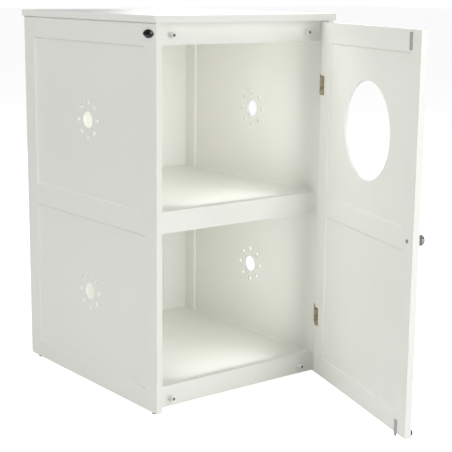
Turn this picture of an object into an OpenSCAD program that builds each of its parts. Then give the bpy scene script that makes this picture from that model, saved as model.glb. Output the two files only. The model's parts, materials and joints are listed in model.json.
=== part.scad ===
// Two-storey cat litter cabinet: a framed and panelled box with a shelf,
// and one tall framed door with a round entrance, hung on wrap-round hinges.
// Millimetres. Origin on the floor under the middle of the cabinet, +Z up, front towards -Y.

/* [Cabinet] */
// Width over the two side frames
body_w = 514; // [420:1:620]
// Depth from the front edge of the side frames to the back
body_d = 584; // [480:1:700]
// Height from the floor to the top of the cabinet
body_h = 900; // [760:1:1080]
// Thickness of the top, the frames, the shelf and the floor board
board = 15; // [13:0.5:18]
// How far the top stands out past the sides, the front and the back
top_lip = 4; // [0:0.5:10]
// Thickness of the plain back panel
back_t = 5; // [4:0.5:8]

/* [Side frames] */
// Width of every upright stile
stile_w = 50; // [42:1:60]
// Height of the top rail of a side
side_top_h = 54; // [44:1:65]
// Height of the middle rail of a side
side_mid_h = 59; // [48:1:70]
// Height of the bottom rail of a side
side_bottom_h = 50; // [42:1:60]
// Distance of a side's middle rail's lower edge below the underside of the top
side_mid_drop = 475; // [420:1:540]
// Thickness of the infill panels in the sides and the door
infill_t = 6; // [4:0.5:7]
// Depth of the tongue of an infill panel in its groove
tongue = 8; // [5:0.5:10]
// Width of the sloped edge that frames each recess
splay = 4; // [0.5:0.5:4]

/* [Shelf, floor and front rails] */
// Distance of the top of the shelf below the underside of the top
shelf_drop = 420; // [417:1:445]
// Height of the top of the floor board above the floor
floor_z = 50; // [40:1:54]
// Height of the three front rails
front_rail_h = 50; // [40:1:60]
// Distance of the front rails behind the front edges of the sides
rail_setback = 31; // [28:1:40]

/* [Door] */
// Gap between the door and the side on the free side
free_gap = 2; // [1.5:0.5:4]
// Gap between the door and the side on the hinge side
hinge_gap = 3; // [3:0.5:5]
// Gap between the top of the door and the underside of the top
door_top_gap = 4; // [2:0.5:8]
// Height of the bottom of the door above the floor
door_z = 12; // [8:0.5:20]
// Height of the top and bottom rails of the door
door_rail_h = 50; // [42:1:60]
// Height of the middle rail of the door
door_mid_h = 54; // [44:1:66]
// Distance of the door's middle rail's lower edge below the underside of the top
door_mid_drop = 469; // [400:1:540]
// Diameter of the round entrance in the upper door panel
entrance_d = 222; // [160:1:260]
// How far the door stands open as drawn, in degrees from shut
door_open = 72; // [0:1:170]

/* [Vents] */
// Diameter of the middle hole of a vent
vent_d = 40; // [30:1:60]
// Diameter of the small holes around it
vent_small_d = 11; // [6:0.5:14]
// Radius of the ring of small holes
vent_ring_r = 41; // [38:0.5:60]
// Number of small holes in the ring
vent_count = 8; // [4:1:10]

/* [Fittings] */
// Height of a hinge leaf
hinge_h = 46; // [36:1:60]
// Width of the hinge leaf on the cabinet side
hinge_leaf_w = 25; // [24:1:28]
// Thickness of the hinge plate
leaf_t = 1.2; // [0.8:0.1:1.2]
// Radius of the hinge barrel
barrel_r = 3; // [2.6:0.1:4]
// Radius of the hinge pin
hinge_pin_r = 1.5; // [1.2:0.1:1.8]
// Width of the hinge flange on the inner face of the door
flange_w = 18; // [14:1:24]
// Height of the middle of the lower hinge above the floor
low_hinge_z = 158; // [110:1:250]
// Distance of the middle of the upper hinge below the underside of the top
high_hinge_drop = 153; // [110:1:250]
// Distance of the magnetic catches from the inner faces of the sides
catch_inset = 44; // [30:1:70]
// Diameter of the round magnet in a catch
magnet_d = 7; // [6:0.5:10]
// Height of the foot glides
foot_h = 4; // [3:0.5:6]
// Diameter of the knob head
knob_d = 24; // [18:1:32]
// Length of a badge
badge_l = 42; // [30:1:44]
// Height of a badge
badge_h = 19; // [12:1:20]

/* [Hidden] */
$fn = 64;

paint = [0.93, 0.93, 0.91];
steel = [0.62, 0.63, 0.64];
aged_brass = [0.45, 0.42, 0.34];
black = [0.07, 0.07, 0.08];
beech = [0.80, 0.66, 0.48];

// Cabinet faces
front_y = -body_d / 2;
back_y = body_d / 2;
inner_x = body_w / 2 - board;
under_top = body_h - board;
side_h = under_top - foot_h;
side_mid_z = under_top - side_mid_drop;
shelf_z = under_top - shelf_drop;
door_mid_z = under_top - door_mid_drop;
rail_y = front_y + rail_setback;
board_y0 = rail_y + board;
board_y1 = back_y - back_t;

// Rails of a frame as [lower edge, upper edge], measured from the frame's own bottom
side_rails = [
    [0, side_bottom_h],
    [side_mid_z - foot_h, side_mid_z - foot_h + side_mid_h],
    [side_h - side_top_h, side_h]
];
door_w = 2 * inner_x - free_gap - hinge_gap;
door_h = under_top - door_top_gap - door_z;
door_rails = [
    [0, door_rail_h],
    [door_mid_z - door_z, door_mid_z - door_z + door_mid_h],
    [door_h - door_rail_h, door_h]
];
door_x0 = -inner_x + free_gap;
door_x1 = door_x0 + door_w;
door_in_y = front_y + board;

// Joinery
tongue_room = 1;
groove = tongue + tongue_room;
dowel_r = 3;
dowel_fit = 0.05;
dowel_l = 36;
dowel_inset = 17;
edge_dowel_l = 24;
top_dowel_in = 9;
dowel_end_skin = 5;
cross_dowel_l = 2 * (board - dowel_end_skin);
top_dowel_places = [0.2, 0.5, 0.8];
shelf_dowel_places = [0.15, 0.5, 0.85];
bore_over = 1;

// Front rails, from the bottom one up
front_rail_z = [foot_h, shelf_z - front_rail_h, under_top - front_rail_h];

// Hinges: the pin stands in front of the gap between door and side
pin_x = inner_x - hinge_gap / 2;
pin_y = front_y - barrel_r;
high_hinge_z = under_top - high_hinge_drop;
pin_fit = 0.05;
knuckle_gap = 0.3;
knuckles = 5;
knuckle_h = hinge_h / knuckles;
pin_cap_h = 1.5;
pin_cap_r = barrel_r - 0.3;
hinge_screw_r = 1.75;
hinge_screw_l = 12;
screw_head_r = 3.2;
screw_head_t = 1.1;
slot_w = 0.7;
slot_share = 0.6;
hinge_slot = 0.6;
hinge_screw_end = 9;
hinge_screw_dz = hinge_h / 2 - hinge_screw_end;
screw_head_gap = 1;
frame_screw_y = door_in_y + leaf_t + screw_head_r + screw_head_gap;
door_screw_edge = 7;
door_screw_in = flange_w - door_screw_edge;

// Catches and strike plates
strike_t = 1.2;
strike_w = 11;
strike_h = 37;
catch_r = 6;
catch_gap = 0.4;
catch_front_y = door_in_y + strike_t + catch_gap;
catch_flange_r = 7.5;
catch_flange_t = 2;
spigot_r = 4;
spigot_l = 9;
magnet_l = 8;
magnet_fit = 0.05;
catch_x = inner_x - catch_inset;
catch_below_mid = [5, 3];
low_catch_z = foot_h + front_rail_h / 2 - catch_below_mid[0];
high_catch_z = under_top - front_rail_h / 2 - catch_below_mid[1];
strike_screw_l = 10;
small_screw_r = 1.5;
small_head_r = 3;
strike_sink = 0.9;
strike_slot = 0.5;

// Knob on the middle of the free stile
knob_x = door_x0 + stile_w / 2;
knob_z = door_mid_z + door_mid_h / 2;
knob_base_r = 8;
knob_neck_r = 4.5;
knob_l = 24;
knob_base_t = 2;
knob_waist_l = 7;
knob_head_h = 7.5;
knob_screw_r = 2;
knob_screw_in = 12;
knob_bore_clear = 0.3;
knob_screw_head_t = 2;
knob_slot = 0.9;

// Badges
badge_t = 5;
badge_layers = 4;
badge_long_curve = 18;
badge_high_curve = 12;
badge_in = 29;
badge_down = 24;
badge_y = front_y + badge_in;
badge_z = under_top - badge_down;
door_badge_w = 12;
door_badge_t = 7;
door_badge_edge = 0.5;
door_badge_up = 1;
door_badge_x = door_x0 + door_badge_w / 2 + door_badge_edge;
door_badge_z = door_z + badge_h / 2 + door_badge_up;

// Feet
foot_r = 7;
foot_nail_r = 1.2;
foot_nail_l = 14;
foot_front = 18;
foot_back = 38;
foot_edge = 1;
foot_places = [front_y + foot_front, back_y - foot_back];

// Back panel pins
pin_head_r = 2;
pin_head_t = 0.8;
nail_r = 0.9;
nail_l = 18;
nail_spacing = 110;
nail_gaps = floor((2 * inner_x - stile_w) / nail_spacing);

// ---------- frames, drawn lying flat: x across, y up the frame, z through its thickness ----------

// Pocket that takes one infill panel, tongue and room included
module panel_pocket(w, rails, i) {
    translate([stile_w - groove, rails[i][1] - groove, (board - infill_t) / 2])
        cube([w - 2 * stile_w + 2 * groove, rails[i + 1][0] - rails[i][1] + 2 * groove, infill_t]);
}

// Sloped edges round one recess, on both faces, mitred in its corners
module recess_splay(w, rails, i) {
    for (face = [0, 1])
        translate([0, 0, face * board])
            mirror([0, 0, face])
                intersection() {
                    translate([0, rails[i + 1][0] + 2 * splay, 0])
                        rotate([90, 0, 0])
                            linear_extrude(rails[i + 1][0] - rails[i][1] + 4 * splay)
                                splay_outline(stile_w, w - stile_w);
                    translate([stile_w - 2 * splay, 0, 0])
                        rotate([90, 0, 90])
                            linear_extrude(w - 2 * stile_w + 4 * splay)
                                splay_outline(rails[i][1], rails[i + 1][0]);
                }
}

// Opening from a to b that widens towards the face at height 0
module splay_outline(a, b) {
    polygon([
        [a - splay - bore_over, -bore_over], [b + splay + bore_over, -bore_over],
        [b, splay], [a, splay]
    ]);
}

// Two dowels across each joint of a rail with a stile
module joint_dowels(w, rails, r) {
    for (rail = rails, u = [stile_w, w - stile_w], v = [rail[0] + dowel_inset, rail[1] - dowel_inset])
        translate([u, v, board / 2])
            rotate([0, 90, 0])
                cylinder(r = r, h = dowel_l, center = true);
}

module frame_stile(w, h, rails, u) {
    difference() {
        translate([u, 0, 0]) cube([stile_w, h, board]);
        for (i = [0, 1]) {
            panel_pocket(w, rails, i);
            recess_splay(w, rails, i);
        }
        joint_dowels(w, rails, dowel_r + dowel_fit);
    }
}

module frame_rail(w, rails, n) {
    difference() {
        translate([stile_w, rails[n][0], 0])
            cube([w - 2 * stile_w, rails[n][1] - rails[n][0], board]);
        for (i = [0, 1]) {
            panel_pocket(w, rails, i);
            recess_splay(w, rails, i);
        }
        joint_dowels(w, rails, dowel_r + dowel_fit);
    }
}

module frame_infill(w, rails, i) {
    translate([stile_w - tongue, rails[i][1] - tongue, (board - infill_t) / 2])
        cube([w - 2 * stile_w + 2 * tongue, rails[i + 1][0] - rails[i][1] + 2 * tongue, infill_t]);
}

// ---------- placing ----------

// Stands a flat frame up as a side: side is -1 for the left one and 1 for the right one
module as_side(side) {
    translate([side < 0 ? -body_w / 2 : inner_x, front_y, foot_h])
        rotate([90, 0, 90])
            children();
}

// Stands a flat frame up as the shut door
module as_door() {
    translate([door_x0, door_in_y, door_z])
        rotate([90, 0, 0])
            children();
}

// Swings what is drawn on the shut door out to where it stands
module swung() {
    translate([pin_x, pin_y, 0])
        rotate([0, 0, door_open])
            translate([-pin_x, -pin_y, 0])
                children();
}

// ---------- cabinet boards ----------

// Dowels from the top rails of the sides up into the top
module top_dowel_set(r) {
    for (side = [-1, 1], t = top_dowel_places)
        translate([side * (inner_x + board / 2), front_y + t * body_d, under_top - edge_dowel_l + top_dowel_in])
            cylinder(r = r, h = edge_dowel_l);
}

// Dowels from the sides into the ends of the shelf and the floor board
module shelf_dowel_set(r) {
    for (side = [-1, 1], z = [shelf_z - board / 2, floor_z - board / 2], t = shelf_dowel_places)
        translate([side * inner_x, board_y0 + t * (board_y1 - board_y0), z])
            rotate([0, 90, 0])
                cylinder(r = r, h = cross_dowel_l, center = true);
}

// Dowels from the middles of the side rails into the ends of the front rails
module rail_dowel_set(r) {
    for (side = [-1, 1], rail = side_rails)
        translate([side * inner_x, rail_y + board / 2, foot_h + (rail[0] + rail[1]) / 2])
            rotate([0, 90, 0])
                cylinder(r = r, h = cross_dowel_l, center = true);
}

module top_panel() {
    color(paint)
        difference() {
            translate([-body_w / 2 - top_lip, front_y - top_lip, under_top])
                cube([body_w + 2 * top_lip, body_d + 2 * top_lip, board]);
            top_dowel_set(dowel_r + dowel_fit);
        }
}

// Nails through the back panel into the shelf and the floor board
module back_nails() {
    for (z = [floor_z - board / 2, shelf_z - board / 2], k = [0 : nail_gaps])
        translate([(k - nail_gaps / 2) * nail_spacing, back_y, z])
            rotate([90, 0, 0]) {
                cylinder(r = nail_r, h = nail_l);
                cylinder(r = pin_head_r, h = pin_head_t);
            }
}

module back_panel() {
    color(paint)
        difference() {
            translate([-inner_x, board_y1, floor_z - board])
                cube([2 * inner_x, back_t, under_top - floor_z + board]);
            back_nails();
        }
}

module flat_board(top_z) {
    difference() {
        translate([-inner_x, board_y0, top_z - board])
            cube([2 * inner_x, board_y1 - board_y0, board]);
        shelf_dowel_set(dowel_r + dowel_fit);
        back_nails();
    }
}

module shelf_board() { color(paint) flat_board(shelf_z); }
module floor_board() { color(paint) flat_board(floor_z); }

// A front rail: n counts from the bottom
module front_rail(n) {
    difference() {
        translate([-inner_x, rail_y, front_rail_z[n]])
            cube([2 * inner_x, board, front_rail_h]);
        rail_dowel_set(dowel_r + dowel_fit);
        catch_sockets();
    }
}

module front_bottom_rail() { color(paint) front_rail(0); }
module shelf_front_rail() { color(paint) front_rail(1); }
module front_top_rail() { color(paint) front_rail(2); }

// ---------- side frames ----------

// Round vent: one middle hole and a ring of small ones, in the middle of an infill panel
module vent_holes(rails, i) {
    translate([body_d / 2, (rails[i][1] + rails[i + 1][0]) / 2, 0]) {
        cylinder(d = vent_d, h = board);
        for (k = [0 : vent_count - 1])
            rotate([0, 0, 90 + k * 360 / vent_count])
                translate([vent_ring_r, 0, 0])
                    cylinder(d = vent_small_d, h = board);
    }
}

// Takes the cabinet's dowels, nails and screws out of a piece of a side
module bored_side(side) {
    difference() {
        as_side(side) children();
        top_dowel_set(dowel_r + dowel_fit);
        shelf_dowel_set(dowel_r + dowel_fit);
        rail_dowel_set(dowel_r + dowel_fit);
        foot_nails();
        if (side > 0) frame_leaf_screws(0);
    }
}

module side_front_stile(side) { bored_side(side) frame_stile(body_d, side_h, side_rails, 0); }
module side_back_stile(side) { bored_side(side) frame_stile(body_d, side_h, side_rails, body_d - stile_w); }
module side_rail(side, n) { bored_side(side) frame_rail(body_d, side_rails, n); }

module side_infill(side, i) {
    as_side(side)
        difference() {
            frame_infill(body_d, side_rails, i);
            vent_holes(side_rails, i);
        }
}

module left_front_stile() { color(paint) side_front_stile(-1); }
module left_back_stile() { color(paint) side_back_stile(-1); }
module left_bottom_rail() { color(paint) side_rail(-1, 0); }
module left_mid_rail() { color(paint) side_rail(-1, 1); }
module left_top_rail() { color(paint) side_rail(-1, 2); }
module left_lower_panel() { color(paint) side_infill(-1, 0); }
module left_upper_panel() { color(paint) side_infill(-1, 1); }
module right_front_stile() { color(paint) side_front_stile(1); }
module right_back_stile() { color(paint) side_back_stile(1); }
module right_bottom_rail() { color(paint) side_rail(1, 0); }
module right_mid_rail() { color(paint) side_rail(1, 1); }
module right_top_rail() { color(paint) side_rail(1, 2); }
module right_lower_panel() { color(paint) side_infill(1, 0); }
module right_upper_panel() { color(paint) side_infill(1, 1); }

// ---------- door ----------

// Takes the door's screws out of a piece of the shut door
module bored_door() {
    swung()
        difference() {
            as_door() children();
            door_leaf_screws(0);
            strike_screw_set(0);
            knob_screw_hole();
        }
}

module door_infill(i) {
    swung()
        as_door()
            difference() {
                frame_infill(door_w, door_rails, i);
                if (i == 1)
                    translate([door_w / 2, (door_rails[1][1] + door_rails[2][0]) / 2, 0])
                        cylinder(d = entrance_d, h = board, $fn = 128);
            }
}

module door_free_stile() { color(paint) bored_door() frame_stile(door_w, door_h, door_rails, 0); }
module door_hinge_stile() {
    color(paint) bored_door() frame_stile(door_w, door_h, door_rails, door_w - stile_w);
}
module door_bottom_rail() { color(paint) bored_door() frame_rail(door_w, door_rails, 0); }
module door_mid_rail() { color(paint) bored_door() frame_rail(door_w, door_rails, 1); }
module door_top_rail() { color(paint) bored_door() frame_rail(door_w, door_rails, 2); }
module door_lower_panel() { color(paint) door_infill(0); }
module door_upper_panel() { color(paint) door_infill(1); }

// ---------- hinges ----------

// Ring of knuckles: first is 0 for the cabinet leaf and 1 for the door leaf
module knuckle_stack(zc, first, r, trim) {
    for (k = [first : 2 : knuckles - 1])
        translate([pin_x, pin_y, zc - hinge_h / 2 + k * knuckle_h + trim])
            cylinder(r = r, h = knuckle_h - 2 * trim);
}

// Cabinet leaf: a plate on the inner face of the right side, curling into its knuckles
module frame_leaf(zc) {
    difference() {
        union() {
            translate([inner_x - leaf_t, front_y - barrel_r, zc - hinge_h / 2])
                cube([leaf_t, hinge_leaf_w + barrel_r, hinge_h]);
            knuckle_stack(zc, 0, barrel_r, knuckle_gap / 2);
        }
        knuckle_stack(zc, 1, barrel_r + knuckle_gap, -knuckle_gap / 2);
        translate([pin_x, pin_y, zc - hinge_h / 2 - bore_over])
            cylinder(r = hinge_pin_r + pin_fit, h = hinge_h + 2 * bore_over);
        frame_leaf_screws(0);
    }
}

// Door leaf on the shut door: round the hinge edge and back over the inner face
module door_leaf(zc) {
    difference() {
        union() {
            translate([door_x1, front_y - barrel_r, zc - hinge_h / 2])
                cube([leaf_t, board + barrel_r + leaf_t, hinge_h]);
            translate([door_x1 - flange_w, door_in_y, zc - hinge_h / 2])
                cube([flange_w, leaf_t, hinge_h]);
            knuckle_stack(zc, 1, barrel_r, knuckle_gap / 2);
        }
        knuckle_stack(zc, 0, barrel_r + knuckle_gap, -knuckle_gap / 2);
        translate([pin_x, pin_y, zc - hinge_h / 2 - bore_over])
            cylinder(r = hinge_pin_r + pin_fit, h = hinge_h + 2 * bore_over);
        door_leaf_screws(0);
    }
}

module hinge_pin(zc) {
    translate([pin_x, pin_y, zc - hinge_h / 2 - pin_cap_h]) {
        cylinder(r = hinge_pin_r, h = hinge_h + 2 * pin_cap_h);
        cylinder(r = pin_cap_r, h = pin_cap_h);
        translate([0, 0, hinge_h + pin_cap_h]) cylinder(r = pin_cap_r, h = pin_cap_h);
    }
}

// Round-headed screw along +Z from its seat at z = 0, with a cross slot when it is drawn
module round_screw(r, l, head_r, head_t, slot) {
    difference() {
        union() {
            translate([0, 0, -l]) cylinder(r = r, h = l);
            cylinder(r = head_r, h = head_t);
        }
        if (slot > 0)
            for (a = [0, 90])
                rotate([0, 0, a])
                    translate([-head_r * slot_share, -slot_w / 2, head_t - slot])
                        cube([2 * head_r * slot_share, slot_w, slot]);
    }
}

module frame_leaf_screws(slot) {
    for (zc = [low_hinge_z, high_hinge_z], k = [-1, 1])
        translate([inner_x - leaf_t, frame_screw_y, zc + k * hinge_screw_dz])
            rotate([0, -90, 0])
                round_screw(hinge_screw_r, hinge_screw_l, screw_head_r, screw_head_t, slot);
}

module door_leaf_screws(slot) {
    for (zc = [low_hinge_z, high_hinge_z], k = [-1, 1])
        translate([door_x1 - door_screw_in, door_in_y + leaf_t, zc + k * hinge_screw_dz])
            rotate([-90, 0, 0])
                round_screw(hinge_screw_r, hinge_screw_l, screw_head_r, screw_head_t, slot);
}

module upper_hinge_frame_leaf() { color(aged_brass) frame_leaf(high_hinge_z); }
module lower_hinge_frame_leaf() { color(aged_brass) frame_leaf(low_hinge_z); }
module upper_hinge_door_leaf() { color(aged_brass) swung() door_leaf(high_hinge_z); }
module lower_hinge_door_leaf() { color(aged_brass) swung() door_leaf(low_hinge_z); }
module upper_hinge_pin() { color(steel) hinge_pin(high_hinge_z); }
module lower_hinge_pin() { color(steel) hinge_pin(low_hinge_z); }
module hinge_frame_screws() { color(steel) frame_leaf_screws(hinge_slot); }
module hinge_door_screws() { color(steel) swung() door_leaf_screws(hinge_slot); }

// ---------- catches and strike plates ----------

// Where each catch stands: x and z on the face of a front rail
function catch_places() = [for (x = [-catch_x, catch_x], z = [low_catch_z, high_catch_z]) [x, z]];

// Spigot holes for the catches in the front rails
module catch_sockets() {
    for (p = catch_places())
        translate([p[0], rail_y, p[1]])
            rotate([-90, 0, 0])
                cylinder(r = spigot_r, h = spigot_l);
}

// Catch housing: a flange on the rail, a round body and a spigot, with a blind seat for the magnet
module catch_housing(p) {
    body_l = rail_y - catch_front_y;
    translate([p[0], rail_y, p[1]])
        rotate([90, 0, 0])
            difference() {
                union() {
                    cylinder(r = catch_r, h = body_l);
                    cylinder(r = catch_flange_r, h = catch_flange_t);
                    translate([0, 0, -spigot_l]) cylinder(r = spigot_r, h = spigot_l);
                }
                translate([0, 0, body_l - magnet_l])
                    cylinder(r = magnet_d / 2 + magnet_fit, h = magnet_l);
            }
}

module lower_left_catch() { color(paint) catch_housing(catch_places()[0]); }
module upper_left_catch() { color(paint) catch_housing(catch_places()[1]); }
module lower_right_catch() { color(paint) catch_housing(catch_places()[2]); }
module upper_right_catch() { color(paint) catch_housing(catch_places()[3]); }

module catch_magnets() {
    color(steel)
        for (p = catch_places())
            translate([p[0], catch_front_y, p[1]])
                rotate([-90, 0, 0])
                    cylinder(d = magnet_d, h = magnet_l);
}

module strike_screw_set(slot) {
    for (z = [low_catch_z, high_catch_z])
        translate([-catch_x, door_in_y + strike_t - strike_sink, z])
            rotate([-90, 0, 0])
                round_screw(small_screw_r, strike_screw_l, small_head_r, strike_sink, slot);
}

module strike_plate(z) {
    difference() {
        translate([-catch_x - strike_w / 2, door_in_y, z - strike_h / 2])
            cube([strike_w, strike_t, strike_h]);
        strike_screw_set(0);
    }
}

module lower_strike_plate() { color(steel) swung() strike_plate(low_catch_z); }
module upper_strike_plate() { color(steel) swung() strike_plate(high_catch_z); }
module strike_screws() { color(steel) swung() strike_screw_set(strike_slot); }

// ---------- knob ----------

// Knob outline from the door outwards: base, waist and a domed head
function knob_outline() = concat(
    [[0, 0], [knob_base_r, 0], [knob_base_r, knob_base_t]],
    [for (a = [0 : 15 : 90]) [
        knob_neck_r + (knob_base_r - knob_neck_r) * (1 - sin(a)),
        knob_base_t + knob_waist_l * (1 - cos(a))
    ]],
    [for (a = [-60 : 12 : 90]) [knob_d / 2 * cos(a), knob_l - knob_head_h + knob_head_h * sin(a)]]
);

module door_knob() {
    color(steel)
        swung()
            translate([knob_x, front_y, knob_z])
                rotate([90, 0, 0])
                    difference() {
                        rotate_extrude($fn = 96) polygon(knob_outline());
                        cylinder(r = knob_screw_r, h = knob_screw_in);
                    }
}

module knob_screw_hole() {
    translate([knob_x, front_y, knob_z])
        rotate([-90, 0, 0])
            cylinder(r = knob_screw_r + knob_bore_clear, h = board);
}

module knob_screw() {
    color(steel)
        swung()
            translate([knob_x, door_in_y, knob_z])
                rotate([-90, 0, 0])
                    round_screw(knob_screw_r, board + knob_screw_in, 2 * knob_screw_r,
                        knob_screw_head_t, knob_slot);
}

// ---------- badges ----------

// Pointed oval of two arcs, l long and h high
module pointed_oval(l, h) {
    r = (l * l / 4 + h * h / 4) / h;
    intersection() {
        translate([0, r - h / 2]) circle(r = r, $fn = 128);
        translate([0, h / 2 - r]) circle(r = r, $fn = 128);
    }
}

// Blank domed badge, l long, h high and t thick, lying flat with its back at z = 0
module badge(l, h, t) {
    for (k = [0 : badge_layers - 1])
        translate([0, 0, k * t / badge_layers])
            linear_extrude(t / badge_layers)
                pointed_oval(
                    l * sqrt(1 - k * k / badge_long_curve),
                    h * sqrt(1 - k * k / badge_high_curve)
                );
}

module side_badge() {
    color(black)
        translate([-body_w / 2, badge_y, badge_z])
            rotate([90, 0, -90])
                badge(badge_l, badge_h, badge_t);
}

module door_badge() {
    color(black)
        swung()
            translate([door_badge_x, front_y, door_badge_z])
                rotate([90, 90, 0])
                    badge(badge_h, door_badge_w, door_badge_t);
}

// ---------- feet ----------

module foot_nail(side, y) {
    translate([side * (inner_x + board / 2), y, foot_h / 2])
        cylinder(r = foot_nail_r, h = foot_nail_l);
}

module foot_nails() {
    for (side = [-1, 1], y = foot_places) foot_nail(side, y);
}

module foot(side, n) {
    color(black) {
        translate([side * (inner_x + board / 2), foot_places[n], 0])
            rotate_extrude()
                polygon([[0, 0], [foot_r - foot_edge, 0], [foot_r, foot_edge], [foot_r, foot_h], [0, foot_h]]);
        foot_nail(side, foot_places[n]);
    }
}

module front_left_foot() { foot(-1, 0); }
module front_right_foot() { foot(1, 0); }
module back_left_foot() { foot(-1, 1); }
module back_right_foot() { foot(1, 1); }

// ---------- hidden joinery ----------

module left_frame_dowels() { color(beech) as_side(-1) joint_dowels(body_d, side_rails, dowel_r); }
module right_frame_dowels() { color(beech) as_side(1) joint_dowels(body_d, side_rails, dowel_r); }
module door_frame_dowels() { color(beech) swung() as_door() joint_dowels(door_w, door_rails, dowel_r); }
module front_rail_dowels() { color(beech) rail_dowel_set(dowel_r); }
module shelf_dowels() { color(beech) shelf_dowel_set(dowel_r); }
module top_dowels() { color(beech) top_dowel_set(dowel_r); }
module back_panel_pins() { color(steel) back_nails(); }

top_panel();
back_panel();
shelf_board();
floor_board();
front_top_rail();
shelf_front_rail();
front_bottom_rail();
left_front_stile();
left_back_stile();
left_top_rail();
left_mid_rail();
left_bottom_rail();
left_upper_panel();
left_lower_panel();
right_front_stile();
right_back_stile();
right_top_rail();
right_mid_rail();
right_bottom_rail();
right_upper_panel();
right_lower_panel();
door_hinge_stile();
door_free_stile();
door_top_rail();
door_mid_rail();
door_bottom_rail();
door_upper_panel();
door_lower_panel();
upper_hinge_frame_leaf();
lower_hinge_frame_leaf();
upper_hinge_door_leaf();
lower_hinge_door_leaf();
upper_hinge_pin();
lower_hinge_pin();
hinge_frame_screws();
hinge_door_screws();
upper_left_catch();
lower_left_catch();
upper_right_catch();
lower_right_catch();
catch_magnets();
upper_strike_plate();
lower_strike_plate();
strike_screws();
door_knob();
knob_screw();
side_badge();
door_badge();
front_left_foot();
front_right_foot();
back_left_foot();
back_right_foot();
left_frame_dowels();
right_frame_dowels();
door_frame_dowels();
front_rail_dowels();
shelf_dowels();
top_dowels();
back_panel_pins();
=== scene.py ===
"""Dresses the framed litter cabinet: lacquer, hardware and moulded pieces in a plain studio."""

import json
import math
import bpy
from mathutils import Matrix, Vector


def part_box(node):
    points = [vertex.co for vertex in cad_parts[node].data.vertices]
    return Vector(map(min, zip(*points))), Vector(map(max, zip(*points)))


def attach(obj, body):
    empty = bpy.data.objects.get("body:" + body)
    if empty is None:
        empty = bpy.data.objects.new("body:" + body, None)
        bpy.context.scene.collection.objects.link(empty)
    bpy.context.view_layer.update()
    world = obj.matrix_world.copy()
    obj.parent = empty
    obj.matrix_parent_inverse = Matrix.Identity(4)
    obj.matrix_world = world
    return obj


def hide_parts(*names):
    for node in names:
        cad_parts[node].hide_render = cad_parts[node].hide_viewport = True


bl_info = {
    "name": "Litter cabinet finish",
    "version": (1, 0, 0),
    "blender": (4, 5, 0),
    "location": "View3D > Sidebar > Litter cabinet",
    "description": "Gives the two-storey litter cabinet its lacquer, hardware, badges and studio",
    "category": "Object",
}

import bmesh
import bpy
from bpy.props import FloatProperty, FloatVectorProperty, PointerProperty
from mathutils import Matrix, Vector

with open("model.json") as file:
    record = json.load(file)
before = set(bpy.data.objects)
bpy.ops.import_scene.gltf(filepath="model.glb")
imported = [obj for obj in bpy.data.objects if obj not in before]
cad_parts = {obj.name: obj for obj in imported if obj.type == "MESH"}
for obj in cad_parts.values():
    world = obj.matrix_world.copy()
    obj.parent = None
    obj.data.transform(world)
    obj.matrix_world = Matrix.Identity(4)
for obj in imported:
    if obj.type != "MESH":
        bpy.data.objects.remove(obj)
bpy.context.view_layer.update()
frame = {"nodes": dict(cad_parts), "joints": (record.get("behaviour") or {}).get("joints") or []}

MM = 0.001
HINGE = frame["joints"][0]
PIN = Vector(HINGE["pos_m"])
# How far the door stands open at rest: its range ends at shut
OPEN_ANGLE = math.radians(-HINGE["range_deg"][0])
# Turns what is built on the shut door out to where the door stands
SWING = Matrix.Translation(PIN) @ Matrix.Rotation(OPEN_ANGLE, 4, "Z") @ Matrix.Translation(-PIN)


def named(*parts):
    """Joins every choice of each part of a name with every choice of the next."""
    names = [""]
    for choices in parts:
        names = [(name + "_" + choice).strip("_") for name in names for choice in choices]
    return names


LEVELS = ("upper", "lower")
FLANKS = ("left", "right")

SIDES = named(FLANKS, ("front_stile", "back_stile", "top_rail", "mid_rail", "bottom_rail"))
SIDE_PANELS = named(FLANKS, ("upper_panel", "lower_panel"))
CASE_BOARDS = ["shelf_board", "floor_board"]
FRONT_RAILS = ["front_top_rail", "shelf_front_rail", "front_bottom_rail"]
DOOR_FRAME = named(("door",), ("hinge_stile", "free_stile", "top_rail", "mid_rail", "bottom_rail"))
HINGES = named(LEVELS, ("hinge",), ("frame_leaf", "door_leaf", "pin"))
SCREWS = ["hinge_frame_screws", "hinge_door_screws", "strike_screws", "knob_screw"]
CATCHES = named(LEVELS, FLANKS, ("catch",))
STRIKES = named(LEVELS, ("strike_plate",))
FEET = named(("front", "back"), FLANKS, ("foot",))
FRAME_DOWELS = named(("left", "right", "door"), ("frame_dowels",))
DOWELS = FRAME_DOWELS + ["front_rail_dowels", "shelf_dowels", "top_dowels"]

# Faces closer than this are joined before their edges are eased
WELD_REACH = 0.01 * MM
# Edges sharper than this are eased
EASE_ANGLE = math.radians(40)
# Share that the larger faces have in the shading of an eased edge
BROAD_FACES = 100

# The Mix node's sockets by place, because their names repeat
MIX_FACTOR = 0
MIX_NUMBERS = (2, 3)
MIX_COLOURS = (6, 7)
MIX_COLOUR_OUT = 2

# The rails below and above each way in
MOUTH_RAILS = {
    "upper": ("shelf_front_rail", "front_top_rail"),
    "lower": ("front_bottom_rail", "shelf_front_rail"),
}
MOUTH_MARGIN = 10 * MM

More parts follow.
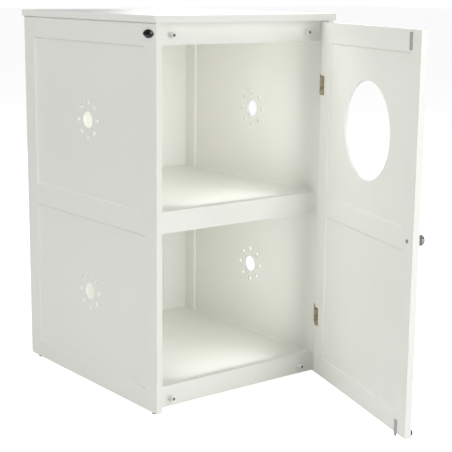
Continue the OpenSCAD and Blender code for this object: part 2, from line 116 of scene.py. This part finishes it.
# Places and sizes in metres, power in watts, spread in degrees
SOFT_LIGHTS = [
    {
        "name": "overhead_softbox",
        "place": (0.0, -0.4, 3.2),
        "target": (0.0, 0.0, 0.4),
        "size": (3.0, 3.0),
        "power": 38.0,
    },
    {
        "name": "front_softbox",
        "place": (0.2, -3.2, 1.5),
        "target": (0.0, 0.0, 0.5),
        "size": (1.8, 1.8),
        "power": 31.0,
    },
    {
        "name": "left_softbox",
        "place": (-2.6, 0.2, 2.6),
        "target": (0.0, 0.0, 0.5),
        "size": (1.8, 1.8),
        "power": 55.0,
    },
    {
        "name": "back_softbox",
        "place": (2.4, 2.4, 2.2),
        "target": (0.0, 0.0, 0.5),
        "size": (1.8, 1.8),
        "power": 34.0,
    },
    {
        "name": "doorway_fill",
        "place": (-0.25, -2.4, 0.8),
        "target": (0.2, -0.3, 0.45),
        "size": (0.9, 0.9),
        "power": 9.4,
    },
    {
        "name": "hinge_fill",
        "place": (-0.12, -0.42, 0.45),
        "target": (0.24, -0.3, 0.45),
        "size": (0.1, 0.8),
        "power": 0.12,
        "spread": 90.0,
    },
]
# Power of the light in each way in
MOUTH_POWER = {"upper": 0.58, "lower": 0.5}
MOUTH_SPREAD = 160.0
# Width of that light as a share of the way in
MOUTH_SHARE = 0.6

FLOOR_REACH = 40.0
SENSOR_WIDTH = 36.0
FARTHEST_SEEN = 100.0


# ---------- shader building ----------


class Wire:
    """A shader socket that arithmetic works on: each operator adds a Math node."""

    def __init__(self, finish, socket):
        self.finish = finish
        self.socket = socket

    def _math(self, operation, first, second):
        return self.finish.node("Math", {"operation": operation}, {0: first, 1: second})

    def __add__(self, other):
        return self._math("ADD", self, other)

    def __radd__(self, other):
        return self._math("ADD", other, self)

    def __sub__(self, other):
        return self._math("SUBTRACT", self, other)

    def __rsub__(self, other):
        return self._math("SUBTRACT", other, self)

    def __mul__(self, other):
        return self._math("MULTIPLY", self, other)

    def __rmul__(self, other):
        return self._math("MULTIPLY", other, self)


class Finish:
    """A material around one Principled shader, with one method that adds every other node."""

    def __init__(self, name, **fixed):
        self.material = bpy.data.materials.new(name)
        self.material.use_nodes = True
        self.tree = self.material.node_tree
        self.tree.nodes.clear()
        out = self.tree.nodes.new("ShaderNodeOutputMaterial")
        self.shader = self.tree.nodes.new("ShaderNodeBsdfPrincipled")
        self.tree.links.new(self.shader.outputs[0], out.inputs["Surface"])
        self.surface(**fixed)
        self.place = self.node("TexCoord", output="Object")

    def feed(self, socket, value):
        """Links a wire to a socket, or sets a plain value on it."""
        if isinstance(value, Wire):
            self.tree.links.new(value.socket, socket)
        elif socket.type == "RGBA":
            socket.default_value = (*value, 1.0)
        else:
            socket.default_value = value

    def node(self, kind, settings=None, inputs=None, output=0):
        """Adds a ShaderNode of that kind, sets it, feeds its sockets and returns one output."""
        made = self.tree.nodes.new("ShaderNode" + kind)
        for name, value in (settings or {}).items():
            if name == "stops":
                for stop, (at, level) in zip(made.color_ramp.elements, value):
                    stop.position = at
                    stop.color = (level, level, level, 1.0)
            else:
                setattr(made, name, value)
        for name, value in (inputs or {}).items():
            self.feed(made.inputs[name], value)
        return Wire(self, made.outputs[output])

    def stretched(self, x, y, z):
        """The object's own coordinates, scaled along each axis."""
        return self.node("VectorMath", {"operation": "MULTIPLY"}, {0: self.place, 1: (x, y, z)})

    def noise(self, scale, detail=2.0, place=None, roughness=0.5):
        """Cloudy noise, scale features to a metre."""
        inputs = {"Scale": scale, "Detail": detail, "Roughness": roughness}
        return self.node("TexNoise", {}, {"Vector": place or self.place, **inputs})

    def flakes(self, scale):
        """Cells that each have their own random level."""
        colour = self.node("TexVoronoi", {}, {"Vector": self.place, "Scale": scale}, output="Color")
        return self.node("SeparateColor", {}, {0: colour})

    def mask(self, wire, low, high):
        """0 below low, 1 above high, and an even slope between."""
        return self.node("ValToRGB", {"stops": [(low, 0.0), (high, 1.0)]}, {0: wire})

    def blend(self, factor, first, second):
        """Mixes two colours."""
        inputs = {MIX_FACTOR: factor, MIX_COLOURS[0]: first, MIX_COLOURS[1]: second}
        return self.node("Mix", {"data_type": "RGBA"}, inputs, output=MIX_COLOUR_OUT)

    def bump(self, height, strength, distance):
        """Raises the surface by a wire, where a level of 1 stands for that distance."""
        inputs = {"Strength": strength, "Distance": distance, "Height": height}
        self.surface(Normal=self.node("Bump", {}, inputs))

    def surface(self, **values):
        """Feeds the Principled shader's sockets, named with underscores for spaces."""
        for name, value in values.items():
            self.feed(self.shader.inputs[name.replace("_", " ")], value)


def tint(colour, share):
    """A darker or lighter copy of a colour."""
    return tuple(min(1.0, part * share) for part in colour)


# ---------- meshes ----------


def piece(name, build, body, finishes, replaced, matrix=None):
    """Makes a mesh object from a bmesh builder, puts it on its body and hides the node that it
    stands in for.
    """
    work = bmesh.new()
    build(work)
    bmesh.ops.recalc_face_normals(work, faces=work.faces)
    mesh = bpy.data.meshes.new(name)
    work.to_mesh(mesh)
    work.free()
    if matrix:
        mesh.transform(matrix)
    for face in mesh.polygons:
        face.use_smooth = True
    for finish in finishes:
        mesh.materials.append(finish)
    made = bpy.data.objects.new(name, mesh)
    bpy.context.scene.collection.objects.link(made)
    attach(made, body)
    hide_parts(replaced)
    return made


def shut_box(name):
    """Lowest and highest corner of a door node, measured on the shut door."""
    back = SWING.inverted()
    points = [back @ vertex.co for vertex in frame["nodes"][name].data.vertices]
    low = Vector([min(point[axis] for point in points) for axis in range(3)])
    high = Vector([max(point[axis] for point in points) for axis in range(3)])
    return low, high


def rings_to_skin(work, rings):
    """Joins closed rings of points into a skin and closes both ends with a face."""
    made = [[work.verts.new(point) for point in ring] for ring in rings]
    count = len(made[0])
    for lower, upper in zip(made, made[1:]):
        for k in range(count):
            work.faces.new((lower[k], lower[(k + 1) % count], upper[(k + 1) % count], upper[k]))
    work.faces.new(list(reversed(made[0])))
    work.faces.new(made[-1])


def dress(names, finishes, ease, segments=2):
    """Puts finishes on nodes and eases their edges; a second finish goes on the eased edges."""
    for name in names:
        node = frame["nodes"][name]
        node.data.materials.clear()
        for finish in finishes:
            node.data.materials.append(finish)
        weld = node.modifiers.new("join_faces", "WELD")
        weld.merge_threshold = WELD_REACH
        bevel = node.modifiers.new("eased_edges", "BEVEL")
        bevel.width = ease
        bevel.segments = segments
        bevel.limit_method = "ANGLE"
        bevel.angle_limit = EASE_ANGLE
        bevel.harden_normals = True
        bevel.material = len(finishes) - 1
        even = node.modifiers.new("even_shading", "WEIGHTED_NORMAL")
        even.weight = BROAD_FACES
        even.keep_sharp = True


# ---------- settings ----------


class LacquerSettings(bpy.types.PropertyGroup):
    """Paint on the boards."""

    colour: FloatVectorProperty(
        name="Paint",
        description="Colour of the white lacquer",
        subtype="COLOR",
        default=(0.885, 0.888, 0.842),
    )
    rubbed: FloatVectorProperty(
        name="Rubbed paint",
        description="Colour of the thin spots on eased edges",
        subtype="COLOR",
        default=(0.62, 0.585, 0.50),
    )
    roughness: FloatProperty(
        name="Roughness",
        description="Roughness of the satin lacquer",
        default=0.36,
        min=0.05,
        max=0.9,
    )
    board_ease: FloatProperty(
        name="Board edges",
        description="Width of the eased board edges",
        default=0.9 * MM,
        unit="LENGTH",
    )
    top_ease: FloatProperty(
        name="Top edges",
        description="Width of the eased edges of the top",
        default=1.4 * MM,
        unit="LENGTH",
    )
    panel_ease: FloatProperty(
        name="Panel edges",
        description="Width of the eased edges of thin panels, the shelf and the floor board",
        default=0.5 * MM,
        unit="LENGTH",
    )
    entrance_ease: FloatProperty(
        name="Entrance edge",
        description="Width of the rounded edge of the entrance",
        default=1.0 * MM,
        unit="LENGTH",
    )
    back_ease: FloatProperty(
        name="Back edges",
        description="Width of the eased edges of the back panel and its nail holes",
        default=0.1 * MM,
        unit="LENGTH",
    )


class HardwareSettings(bpy.types.PropertyGroup):
    """Metal, moulded and wooden fittings."""

    brass: FloatVectorProperty(
        name="Hinge metal",
        description="Colour of the aged brass hinges",
        subtype="COLOR",
        default=(0.34, 0.29, 0.17),
    )
    zinc: FloatVectorProperty(
        name="Zinc",
        description="Colour of plated screws and plates",
        subtype="COLOR",
        default=(0.50, 0.51, 0.52),
    )
    chrome: FloatVectorProperty(
        name="Knob metal",
        description="Colour of the polished knob",
        subtype="COLOR",
        default=(0.42, 0.42, 0.43),
    )
    black: FloatVectorProperty(
        name="Badge black",
        description="Colour of the blank badges",
        subtype="COLOR",
        default=(0.012, 0.012, 0.013),
    )
    catch_white: FloatVectorProperty(
        name="Catch plastic",
        description="Colour of the catch housings",
        subtype="COLOR",
        default=(0.84, 0.84, 0.81),
    )
    foot_grey: FloatVectorProperty(
        name="Foot plastic",
        description="Colour of the foot glides",
        subtype="COLOR",
        default=(0.035, 0.035, 0.035),
    )
    hinge_ease: FloatProperty(
        name="Hinge edges",
        description="Width of the eased edges of hinges and magnets",
        default=0.15 * MM,
        unit="LENGTH",
    )
    screw_ease: FloatProperty(
        name="Screw edges",
        description="Width of the eased edges of the screw heads",
        default=0.09 * MM,
        unit="LENGTH",
    )
    strike_ease: FloatProperty(
        name="Strike plate edges",
        description="Width of the eased edges of the strike plates",
        default=0.075 * MM,
        unit="LENGTH",
    )
    nail_ease: FloatProperty(
        name="Nail edges",
        description="Width of the eased edges of the nail heads",
        default=0.1 * MM,
        unit="LENGTH",
    )
    catch_ease: FloatProperty(
        name="Catch edges",
        description="Width of the rounded edges of the catch housings",
        default=0.4 * MM,
        unit="LENGTH",
    )
    foot_ease: FloatProperty(
        name="Foot edges",
        description="Width of the rounded edges of the foot glides",
        default=0.3 * MM,
        unit="LENGTH",
    )
    dowel_ease: FloatProperty(
        name="Dowel edges",
        description="Width of the eased ends of the dowels",
        default=0.4 * MM,
        unit="LENGTH",
    )


class StudioSettings(bpy.types.PropertyGroup):
    """Floor, light and camera."""

    floor_colour: FloatVectorProperty(
        name="Floor",
        description="Colour of the plain floor",
        subtype="COLOR",
        default=(0.93, 0.93, 0.93),
    )
    floor_lift: FloatProperty(
        name="Floor lift",
        description="Light the floor adds where the camera sees it",
        default=0.9,
        min=0.0,
    )
    surround: FloatProperty(
        name="Surround",
        description="Strength of the even light from all round",
        default=0.06,
        min=0.0,
    )
    lens: FloatProperty(
        name="Lens",
        description="Focal length in millimetres",
        default=93.4,
        unit="CAMERA",
    )
    eye: FloatVectorProperty(
        name="Camera place",
        description="Where the camera stands",
        subtype="XYZ",
        unit="LENGTH",
        default=(-1.695, -2.381, 0.965),
    )
    heading: FloatProperty(
        name="Heading",
        description="Turn of the view from straight at the front towards the right",
        default=math.radians(38.0),
        subtype="ANGLE",
    )
    dip: FloatProperty(
        name="Dip",
        description="How far the view looks down",
        default=math.radians(11.61),
        subtype="ANGLE",
    )
    roll: FloatProperty(
        name="Roll",
        description="Tilt of the camera's right side upwards",
        default=math.radians(0.58),
        subtype="ANGLE",
    )


# ---------- finishes ----------


def lacquer(name, settings, worn):
    """Satin white lacquer with orange peel and handling marks; worn adds thin spots."""
    paint = Finish(name, Specular_IOR_Level=0.45, Coat_Roughness=0.16)
    drift = paint.noise(2.6, 3.0)
    smudge = paint.noise(21.0, 5.0, roughness=0.6)
    handled = paint.mask(paint.noise(7.0, 4.0), 0.52, 0.78)
    peel = paint.noise(430.0, 2.0)
    stipple = paint.noise(1700.0, 2.0)
    sag = paint.noise(14.0, 1.0)
    clean = paint.blend(drift, settings.colour, tint(settings.colour, 0.965))
    warm_shares = (0.985, 0.975, 0.93)
    warm = tuple(share * part for share, part in zip(warm_shares, settings.colour))
    colour = paint.blend(handled * smudge * 0.35, clean, warm)
    if worn:
        wear = paint.noise(260.0, 4.0) * 0.55 + paint.noise(33.0, 2.0) * 0.45
        colour = paint.blend(paint.mask(wear, 0.56, 0.72) * 0.45, colour, settings.rubbed)
    paint.surface(
        Base_Color=colour,
        Roughness=settings.roughness + (smudge - 0.5) * 0.16 + handled * 0.07,
        Coat_Weight=0.22 - handled * 0.10,
    )
    paint.bump(peel * 0.55 + stipple * 0.12 + sag * 3.0, 0.32, 0.05 * MM)
    return paint.material


def aged_brass(settings):
    """Rolled brass plate, darkened by handling, with a drawn grain along the hinge."""
    metal = Finish("aged_brass", Metallic=1.0)
    grain = metal.noise(300.0, 3.0, place=metal.stretched(6.0, 6.0, 0.35))
    tarnish = metal.mask(metal.noise(120.0, 5.0, roughness=0.65), 0.42, 0.66)
    metal.surface(
        Base_Color=metal.blend(tarnish, tint(settings.brass, 1.25), tint(settings.brass, 0.45)),
        Roughness=0.34 + tarnish * 0.22 + (grain - 0.5) * 0.18,
    )
    metal.bump(grain + metal.noise(900.0) * 0.3, 0.35, 0.02 * MM)
    return metal.material


def zinc_plate(name, settings, share=1.0):
    """Zinc plating with small spangle and dull spots; a share below 1 makes it darker."""
    metal = Finish(name, Metallic=1.0)
    flake = metal.flakes(700.0)
    dull = metal.mask(metal.noise(160.0, 4.0), 0.45, 0.7)
    bright, deep = tint(settings.zinc, 1.15 * share), tint(settings.zinc, 0.62 * share)
    metal.surface(
        Base_Color=metal.blend(flake * 0.5 + dull * 0.4, bright, deep),
        Roughness=0.26 + flake * 0.10 + dull * 0.18,
    )
    metal.bump(flake * 0.4 + metal.noise(1500.0, 3.0), 0.25, 0.012 * MM)
    return metal.material


def polished_knob(settings):
    """Polished plate with fine swirl scratches and a soft haze."""
    metal = Finish("polished_knob", Metallic=1.0)
    swirl = metal.noise(700.0, 4.0, place=metal.stretched(1.0, 1.0, 5.0), roughness=0.7)
    haze = metal.mask(metal.noise(95.0, 4.0), 0.45, 0.75)
    metal.surface(
        Base_Color=metal.blend(haze, settings.chrome, tint(settings.chrome, 0.82)),
        Roughness=0.10 + haze * 0.14 + (swirl - 0.5) * 0.08,
    )
    metal.bump(swirl, 0.12, 0.01 * MM)
    return metal.material


def moulded(name, colour, roughness, grain):
    """Moulded plastic: a fine grain of that scale, flow marks and a few scuffs."""
    plastic = Finish(name, Specular_IOR_Level=0.5)
    texture = plastic.noise(grain, 3.0)
    flow = plastic.noise(45.0, 2.0, place=plastic.stretched(1.0, 1.0, 3.0))
    scratches = plastic.noise(210.0, 5.0, place=plastic.stretched(4.0, 1.0, 1.0))
    scuff = plastic.mask(scratches, 0.60, 0.74)
    shade = plastic.blend(flow, tint(colour, 0.93), tint(colour, 1.06))
    grey = tuple(0.75 * part + 0.06 for part in colour)
    plastic.surface(
        Base_Color=plastic.blend(scuff * 0.35, shade, grey),
        Roughness=roughness + (texture - 0.5) * 0.12 + scuff * 0.2,
    )
    plastic.bump(texture + flow * 0.6, 0.25, 0.03 * MM)
    return plastic.material


def bare_beech():
    """Turned beech dowel: soft grain with small dark flecks."""
    pale, deep, dark = (0.66, 0.49, 0.31), (0.47, 0.31, 0.18), (0.30, 0.18, 0.10)
    wood = Finish("bare_beech")
    grain = wood.noise(55.0, 5.0, roughness=0.6)
    fleck = wood.mask(wood.noise(420.0, 2.0), 0.62, 0.70)
    wood.surface(
        Base_Color=wood.blend(fleck * 0.6, wood.blend(grain, pale, deep), dark),
        Roughness=0.55 + grain * 0.2,
    )
    wood.bump(grain + fleck * 0.5, 0.3, 0.05 * MM)
    return wood.material


# ---------- operators ----------


class CABINET_OT_lacquer_case(bpy.types.Operator):
    """Lacquer the cabinet's boards, side frames and panels."""

    bl_idname = "cabinet.lacquer_case"
    bl_label = "Lacquer the case"

    def execute(self, context):
        settings = context.scene.cabinet_lacquer
        face = lacquer("case_lacquer", settings, False)
        edge = lacquer("case_edge_lacquer", settings, True)
        finishes = [face, edge]
        dress(["top_panel"], finishes, settings.top_ease, 3)
        dress(SIDES + FRONT_RAILS, finishes, settings.board_ease)
        dress(CASE_BOARDS + SIDE_PANELS, finishes, settings.panel_ease)
        dress(["back_panel"], finishes, settings.back_ease)
        return {"FINISHED"}


class CABINET_OT_lacquer_door(bpy.types.Operator):
    """Lacquer the door's frame and panels."""

    bl_idname = "cabinet.lacquer_door"
    bl_label = "Lacquer the door"

    def execute(self, context):
        settings = context.scene.cabinet_lacquer
        face = lacquer("door_lacquer", settings, False)
        edge = lacquer("door_edge_lacquer", settings, True)
        finishes = [face, edge]
        dress(DOOR_FRAME, finishes, settings.board_ease)
        dress(["door_lower_panel"], finishes, settings.panel_ease)
        dress(["door_upper_panel"], finishes, settings.entrance_ease, 3)
        return {"FINISHED"}


class CABINET_OT_finish_hinges(bpy.types.Operator):
    """Give the hinges, their pins and all screws their metal."""

    bl_idname = "cabinet.finish_hinges"
    bl_label = "Finish the hinges and screws"

    def execute(self, context):
        settings = context.scene.cabinet_hardware
        dress(HINGES, [aged_brass(settings)], settings.hinge_ease)
        dress(SCREWS, [zinc_plate("zinc_screws", settings)], settings.screw_ease)
        return {"FINISHED"}


class CABINET_OT_finish_catches(bpy.types.Operator):
    """Finish the magnetic catches and the strike plates."""

    bl_idname = "cabinet.finish_catches"
    bl_label = "Finish the catches"

    def execute(self, context):
        settings = context.scene.cabinet_hardware
        plastic = moulded("catch_plastic", settings.catch_white, 0.32, 900.0)
        dress(CATCHES, [plastic], settings.catch_ease)
        dress(["catch_magnets"], [zinc_plate("magnet_plate", settings, 0.4)], settings.hinge_ease)
        dress(STRIKES, [zinc_plate("strike_zinc", settings, 0.95)], settings.strike_ease)
        return {"FINISHED"}


class CABINET_OT_turn_knob(bpy.types.Operator):
    """Turn the door knob as a smooth lathe form."""

    bl_idname = "cabinet.turn_knob"
    bl_label = "Turn the knob"

    def execute(self, context):
        low, high = shut_box("door_knob")
        middle = (low + high) / 2
        radius = (high.x - low.x) / 2
        length = high.y - low.y
        # Outline from the door outwards, as shares of the radius and of the length
        flange = [(0.62, 0.0), (0.667, 0.02), (0.667, 0.075), (0.62, 0.10), (0.50, 0.13)]
        neck = [(0.42, 0.20), (0.375, 0.30), (0.37, 0.38), (0.42, 0.44), (0.56, 0.485)]
        head = [(0.78, 0.53), (0.93, 0.59), (0.99, 0.65), (1.0, 0.70), (0.975, 0.77), (0.90, 0.84)]
        crown = [(0.76, 0.90), (0.58, 0.95), (0.38, 0.98), (0.18, 0.996), (0.04, 1.0)]
        count = 64
        turns = [math.tau * k / count for k in range(count)]
        circle = [(math.cos(turn), math.sin(turn)) for turn in turns]

        def ring(share, out):
            wide, y = share * radius, high.y - out * length
            return [(middle.x + wide * across, y, middle.z + wide * up) for across, up in circle]

        def build(work):
            rings_to_skin(work, [ring(share, out) for share, out in flange + neck + head + crown])

        finish = polished_knob(context.scene.cabinet_hardware)
        knob = piece("turned_knob", build, "door", [finish], "door_knob", SWING)
        smooth = knob.modifiers.new("smooth_turning", "SUBSURF")
        smooth.levels = smooth.render_levels = 1
        return {"FINISHED"}


class CABINET_OT_mould_badges(bpy.types.Operator):
    """Mould the two blank pointed-oval badges."""

    bl_idname = "cabinet.mould_badges"
    bl_label = "Mould the badges"

    def execute(self, context):
        finish = moulded("badge_black", context.scene.cabinet_hardware.black, 0.13, 500.0)
        low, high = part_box("side_badge")
        wide, middle = high - low, (low + high) / 2
        # Long axis towards the front, face towards the left
        turn = Matrix(((0, 0, -1), (-1, 0, 0), (0, 1, 0))).to_4x4()
        place = Matrix.Translation((high.x, middle.y, middle.z)) @ turn
        size = (wide.y, wide.z, wide.x)
        self.mould("blank_side_badge", "cabinet", "side_badge", finish, size, place)
        low, high = shut_box("door_badge")
        wide, middle = high - low, (low + high) / 2
        # Long axis upright, face towards the front of the shut door
        turn = Matrix(((0, -1, 0), (0, 0, -1), (1, 0, 0))).to_4x4()
        place = SWING @ Matrix.Translation((middle.x, high.y, middle.z)) @ turn
        size = (wide.z, wide.x, wide.y)
        self.mould("blank_door_badge", "door", "door_badge", finish, size, place)
        return {"FINISHED"}

    def mould(self, name, body, node, finish, size, matrix):
        """One badge: a slim wall, a rounded border and a dome inside it."""
        long, high, thick = size
        # Share of the outline, height as a share of the thickness
        wall = [(1.0, 0.0), (1.0, 0.22), (0.99, 0.32)]
        border = [(0.965, 0.38), (0.935, 0.38), (0.905, 0.33), (0.885, 0.32)]
        shoulder = [(0.86, 0.40), (0.80, 0.54), (0.70, 0.70), (0.57, 0.84)]
        dome = [(0.42, 0.93), (0.26, 0.98), (0.10, 1.0)]
        # The pointed oval is two arcs of this radius, each half as high as the badge
        arc = (long * long / 4 + high * high / 4) / high
        span = math.asin(long / 2 / arc)
        count = 40
        outline = []
        for sign in (1, -1):
            for k in range(count):
                angle = span * (1 - 2 * k / count) * sign
                rise = arc * math.cos(angle) - arc + high / 2
                outline.append((arc * math.sin(angle), sign * rise))

        def build(work):
            rings = [
                [(share * x, share * y, up * thick) for x, y in outline]
                for share, up in wall + border + shoulder + dome
            ]
            rings_to_skin(work, rings)

        piece(name, build, body, [finish], node, matrix)


class CABINET_OT_finish_feet(bpy.types.Operator):
    """Finish the foot glides and the joinery inside the boards."""

    bl_idname = "cabinet.finish_feet"
    bl_label = "Finish the feet and joinery"

    def execute(self, context):
        settings = context.scene.cabinet_hardware
        plastic = moulded("foot_plastic", settings.foot_grey, 0.55, 700.0)
        dress(FEET, [plastic], settings.foot_ease)
        dress(DOWELS, [bare_beech()], settings.dowel_ease)
        dress(["back_panel_pins"], [zinc_plate("nail_zinc", settings, 0.9)], settings.nail_ease)
        return {"FINISHED"}


class CABINET_OT_set_studio(bpy.types.Operator):
    """Lay the floor, hang the soft lights and stand the camera."""

    bl_idname = "cabinet.set_studio"
    bl_label = "Set the studio"

    def execute(self, context):
        scene = context.scene
        settings = scene.cabinet_studio
        scene.view_settings.view_transform = "Standard"
        self.lay_floor(settings)
        self.light_surround(scene, settings)
        for light in SOFT_LIGHTS:
            self.hang_light(**light)
        for level, power in MOUTH_POWER.items():
            low, high = self.mouth(level)
            middle = (low + high) / 2
            inwards = middle + Vector((0.0, 1.0, 0.0))
            size = (MOUTH_SHARE * (high.x - low.x), high.z - low.z)
            self.hang_light(level + "_fill", middle, inwards, size, power, MOUTH_SPREAD)
        self.stand_camera(scene, settings)
        return {"FINISHED"}

    def lay_floor(self, settings):
        """A wide pale paper floor, lifted to white where the camera sees it."""
        paper = Finish(
            "studio_floor",
            Roughness=0.85,
            Specular_IOR_Level=0.15,
            Emission_Strength=settings.floor_lift,
        )
        shade = tint(settings.floor_colour, 0.985)
        paper.surface(
            Base_Color=paper.blend(paper.noise(1.3, 2.0), settings.floor_colour, shade),
            Emission_Color=paper.node("LightPath", output="Is Camera Ray"),
        )
        paper.bump(paper.noise(600.0, 2.0), 0.05, 0.05 * MM)
        work = bmesh.new()
        bmesh.ops.create_grid(work, x_segments=8, y_segments=8, size=FLOOR_REACH)
        mesh = bpy.data.meshes.new("studio_floor")
        work.to_mesh(mesh)
        work.free()
        mesh.materials.append(paper.material)
        floor = bpy.data.objects.new("studio_floor", mesh)
        bpy.context.scene.collection.objects.link(floor)

    def light_surround(self, scene, settings):
        """An even surround that the camera sees as white and that lights softly."""
        world = bpy.data.worlds.new("studio_surround")
        scene.world = world
        world.use_nodes = True
        tree = world.node_tree
        tree.nodes.clear()
        seen = tree.nodes.new("ShaderNodeLightPath")
        bright = tree.nodes.new("ShaderNodeMix")
        bright.inputs[MIX_NUMBERS[0]].default_value = settings.surround
        bright.inputs[MIX_NUMBERS[1]].default_value = 1.0
        shine = tree.nodes.new("ShaderNodeBackground")
        out = tree.nodes.new("ShaderNodeOutputWorld")
        tree.links.new(seen.outputs["Is Camera Ray"], bright.inputs[MIX_FACTOR])
        tree.links.new(bright.outputs[0], shine.inputs["Strength"])
        tree.links.new(shine.outputs[0], out.inputs["Surface"])
        shine.inputs["Color"].default_value = (1.0, 1.0, 1.0, 1.0)

    def mouth(self, level):
        """Corners of a storey's way in, at the back of the front rails, less a margin."""
        below, above = (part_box(rail) for rail in MOUTH_RAILS[level])
        plane = below[1].y
        low = Vector((below[0].x + MOUTH_MARGIN, plane, below[1].z + MOUTH_MARGIN))
        high = Vector((below[1].x - MOUTH_MARGIN, plane, above[0].z - MOUTH_MARGIN))
        return low, high

    def hang_light(self, name, place, target, size, power, spread=180.0):
        """A rectangular soft light that faces its target and isn't seen itself."""
        data = bpy.data.lights.new(name, "AREA")
        data.shape = "RECTANGLE"
        data.size, data.size_y = size
        data.energy = power
        data.spread = math.radians(spread)
        light = bpy.data.objects.new(name, data)
        light.visible_camera = False
        light.location = place
        light.rotation_euler = (Vector(target) - Vector(place)).to_track_quat("-Z", "Y").to_euler()
        bpy.context.scene.collection.objects.link(light)

    def stand_camera(self, scene, settings):
        """Points the camera by its heading and dip, then rolls it."""
        heading, dip, roll = settings.heading, settings.dip, settings.roll
        level = Vector((math.cos(heading), -math.sin(heading), 0.0))
        outwards = Vector((math.sin(heading), math.cos(heading), 0.0))
        ahead = outwards * math.cos(dip) - Vector((0.0, 0.0, math.sin(dip)))
        above = level.cross(ahead)
        right = level * math.cos(roll) + above * math.sin(roll)
        up = above * math.cos(roll) - level * math.sin(roll)
        data = bpy.data.cameras.new("studio_camera")
        data.sensor_width = SENSOR_WIDTH
        data.lens = settings.lens
        data.clip_end = FARTHEST_SEEN
        camera = bpy.data.objects.new("studio_camera", data)
        turn = Matrix((right, up, -ahead)).transposed().to_4x4()
        camera.matrix_world = Matrix.Translation(settings.eye) @ turn
        scene.collection.objects.link(camera)
        scene.camera = camera


OPERATORS = [
    CABINET_OT_lacquer_case,
    CABINET_OT_lacquer_door,
    CABINET_OT_finish_hinges,
    CABINET_OT_finish_catches,
    CABINET_OT_turn_knob,
    CABINET_OT_mould_badges,
    CABINET_OT_finish_feet,
    CABINET_OT_set_studio,
]


class CABINET_PT_finish(bpy.types.Panel):
    """Lists the settings and the steps."""

    bl_idname = "CABINET_PT_finish"
    bl_label = "Litter cabinet"
    bl_space_type = "VIEW_3D"
    bl_region_type = "UI"
    bl_category = "Litter cabinet"

    def draw(self, context):
        for name in GROUPS:
            group = getattr(context.scene, name)
            box = self.layout.box()
            for setting in group.__annotations__:
                box.prop(group, setting)
        for step in OPERATORS:
            self.layout.operator(step.bl_idname)


GROUPS = {
    "cabinet_lacquer": LacquerSettings,
    "cabinet_hardware": HardwareSettings,
    "cabinet_studio": StudioSettings,
}


def register():
    for name, group in GROUPS.items():
        bpy.utils.register_class(group)
        setattr(bpy.types.Scene, name, PointerProperty(type=group))
    for step in [*OPERATORS, CABINET_PT_finish]:
        bpy.utils.register_class(step)


def unregister():
    for step in reversed([*OPERATORS, CABINET_PT_finish]):
        bpy.utils.unregister_class(step)
    for name, group in GROUPS.items():
        delattr(bpy.types.Scene, name)
        bpy.utils.unregister_class(group)


def main():
    register()
    bpy.ops.cabinet.lacquer_case()
    bpy.ops.cabinet.lacquer_door()
    bpy.ops.cabinet.finish_hinges()
    bpy.ops.cabinet.finish_catches()
    bpy.ops.cabinet.turn_knob()
    bpy.ops.cabinet.mould_badges()
    bpy.ops.cabinet.finish_feet()
    bpy.ops.cabinet.set_studio()


if __name__ == "__main__":
    main()
